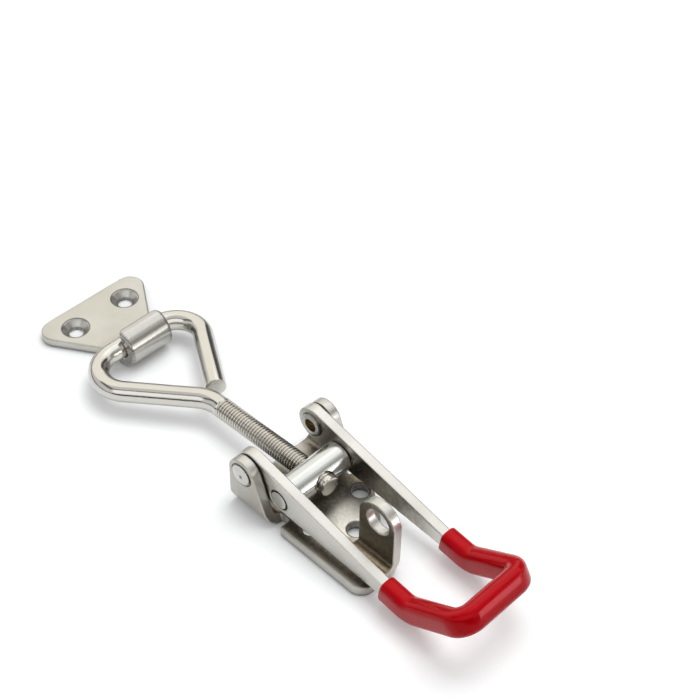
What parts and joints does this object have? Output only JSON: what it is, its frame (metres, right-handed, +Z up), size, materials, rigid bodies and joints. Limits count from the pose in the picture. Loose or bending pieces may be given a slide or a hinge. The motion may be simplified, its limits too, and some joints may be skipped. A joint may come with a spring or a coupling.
{
  "type": "over centre toggle latch",
  "caption": "Over-centre toggle latch: bent rod with a looped end, hand lever with a dipped red grip, base plate with padlock tab, and a hooked strike plate.",
  "frame": {"origin": "on the underside of the base plate, on its centre line, straight below the handle's pivot", "axes": "+X runs from the handle's pivot towards the grip, -X towards the strike plate, +Z is up out of the mounting surface, Y is along the pivots"},
  "size_m": [0.2234, 0.0545, 0.0301],
  "materials": {
    "plate_steel": "satin nickel-plated or stainless sheet, slightly warm",
    "polished_steel": "polished rod",
    "turned_steel": "turned, satin",
    "red_grip": "glossy dipped vinyl"
  },
  "bodies": {
    "base": {"base_plate": "plate_steel", "pivot_rivet_left": "turned_steel", "pivot_rivet_right": "turned_steel"},
    "handle": {"handle_lever": "plate_steel", "grip_sleeve": "red_grip"},
    "cross_pin": {"barrel": "turned_steel"},
    "bolt": {"draw_bolt": "polished_steel"},
    "strike": {"strike_plate": "plate_steel"}
  },
  "joints": [
    {"name": "handle_pivot", "type": "hinge", "parent": "base", "child": "handle", "pos_m": [0, 0, 0.0185], "axis": [0, -1, 0], "range_deg": [0, 160]},
    {"name": "barrel_pivot", "type": "hinge", "parent": "handle", "child": "cross_pin", "pos_m": [0.0141, 0, 0.01335], "axis": [0, -1, 0], "range_deg": [-165, 5]},
    {"name": "bolt_adjust", "type": "slide", "parent": "cross_pin", "child": "bolt", "axis": [0.9987, 0, 0.0506], "range_m": [-0.004, 0.014]},
    {"name": "strike_swing", "type": "hinge", "parent": "bolt", "child": "strike", "pos_m": [-0.0865, 0, 0.00825], "axis": [0, 1, 0], "range_deg": [-60, 60]}
  ],
  "couplings": [
    {"joint": "barrel_pivot", "follows": "handle_pivot", "ratio": -1}
  ]
}
